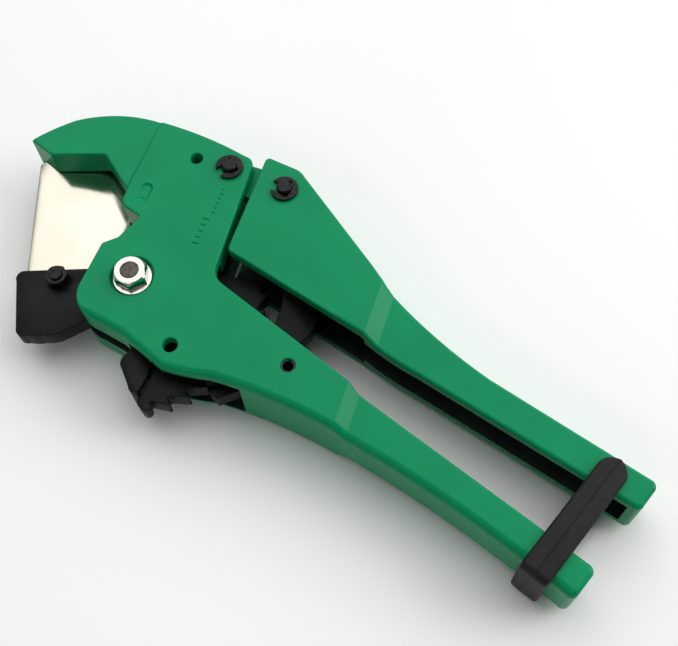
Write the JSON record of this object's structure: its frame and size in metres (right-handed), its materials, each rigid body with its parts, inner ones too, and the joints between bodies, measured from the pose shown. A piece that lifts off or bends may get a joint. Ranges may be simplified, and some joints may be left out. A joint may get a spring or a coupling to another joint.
{
  "type": "ratchet pipe cutter",
  "caption": "Hand ratchet cutter for plastic pipe: hooked jaw, pivoting blade, two channel handles held shut by a strap.",
  "frame": {"origin": "centre of the plan box, on the surface the tool lies on (underside of the head)", "axes": "+X towards the handle ends, +Y towards the moving handle, +Z out of the upper face, along every pivot"},
  "size_m": [0.2328, 0.1012, 0.0289],
  "materials": {
    "green_enamel": "glossy green enamel on a die casting",
    "polished_blade": "mirror polished",
    "black_oxide": "satin black",
    "dark_bolt": "dark oiled steel",
    "nickel_plate": "bright nickel plate",
    "spring_steel": "oiled spring steel",
    "black_rubber": "matt moulded"
  },
  "bodies": {
    "frame": {"frame": "green_enamel", "pivot_bolt": "dark_bolt", "pivot_nut": "nickel_plate", "pivot_washer": "nickel_plate", "pivot_sleeve": "spring_steel", "pivot_spacers": "spring_steel", "handle_pin": "black_oxide", "handle_pin_clip": "black_oxide", "handle_spring": "spring_steel", "holding_pawl_pin": "spring_steel", "holding_pawl_spring": "spring_steel"},
    "moving_handle": {"moving_handle": "green_enamel", "pawl_pin": "black_oxide", "pawl_pin_clip": "black_oxide", "drive_pawl_spring": "spring_steel"},
    "blade": {"blade": "polished_blade", "blade_carrier": "black_oxide", "blade_screw": "black_oxide", "blade_nut": "black_oxide", "blade_dowel": "spring_steel"},
    "drive_pawl": {"drive_pawl": "black_oxide"},
    "holding_pawl": {"holding_pawl": "black_oxide"},
    "strap": {"handle_strap": "black_rubber"}
  },
  "joints": [
    {"name": "handle", "type": "hinge", "parent": "frame", "child": "moving_handle", "pos_m": [-0.05433, 0.03638, 0.0125], "axis": [0, 0, 1], "range_deg": [0, 30]},
    {"name": "blade_swing", "type": "hinge", "parent": "frame", "child": "blade", "pos_m": [-0.05023, -0.01402, 0.0125], "axis": [0, 0, 1], "range_deg": [0, 77.4]},
    {"name": "drive_pawl_swing", "type": "hinge", "parent": "moving_handle", "child": "drive_pawl", "pos_m": [-0.03403, 0.04158, 0.0125], "axis": [0, 0, 1], "range_deg": [-3.6, 6], "stiffness_Nm_per_rad": 0.06},
    {"name": "holding_pawl_swing", "type": "hinge", "parent": "frame", "child": "holding_pawl", "pos_m": [0.00957, -0.00552, 0.0125], "axis": [0, 0, 1], "range_deg": [-8.3, 2], "stiffness_Nm_per_rad": 0.04},
    {"name": "strap_release", "type": "slide", "parent": "frame", "child": "strap", "axis": [0, -1, 0], "range_m": [0, 0.045]}
  ]
}
